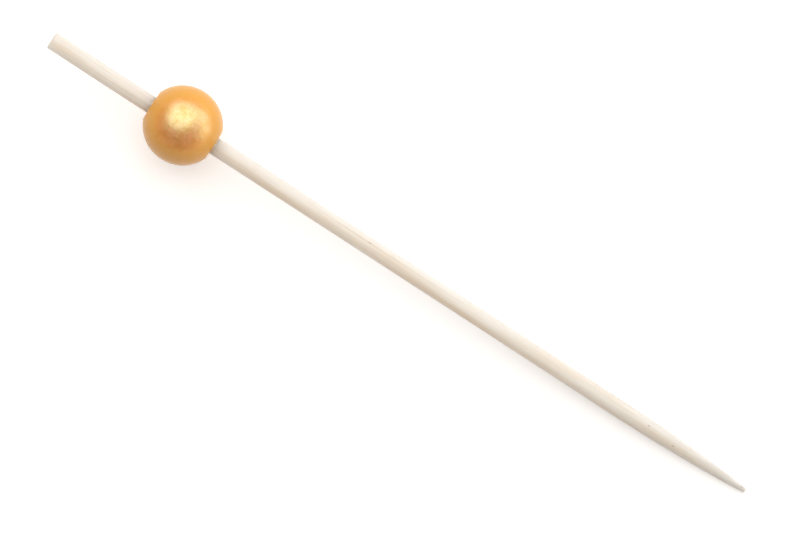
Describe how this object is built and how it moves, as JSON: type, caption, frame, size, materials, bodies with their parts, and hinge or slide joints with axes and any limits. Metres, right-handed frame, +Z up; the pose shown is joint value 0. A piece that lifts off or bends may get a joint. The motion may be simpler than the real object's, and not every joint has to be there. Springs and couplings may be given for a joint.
{
  "type": "beaded bamboo skewer",
  "caption": "Round bamboo party skewer ground to a long point, with a gold-painted wooden bead glued near its blunt end to hold it by.",
  "frame": {"origin": "on the table, under the middle of the skewer's bounding box, with the skewer lying at rest on its bead and on the belly of its point", "axes": "+X along the stick as seen from above, from the blunt end towards the point; +Z up; the stick's axis dips 3.12 degrees below +X towards the point"},
  "size_m": [0.1198, 0.0116, 0.0116],
  "materials": {
    "bamboo": "pale planed bamboo, bare, fine lengthwise fibres, matte",
    "gold_paint": "warm metallic gold paint on a turned wooden bead, satin",
    "cured_glue": "clear cured white glue, satin"
  },
  "bodies": {
    "root": {"bamboo_stick": "bamboo", "gold_bead": "gold_paint", "glue_bond": "cured_glue"}
  },
  "joints": []
}
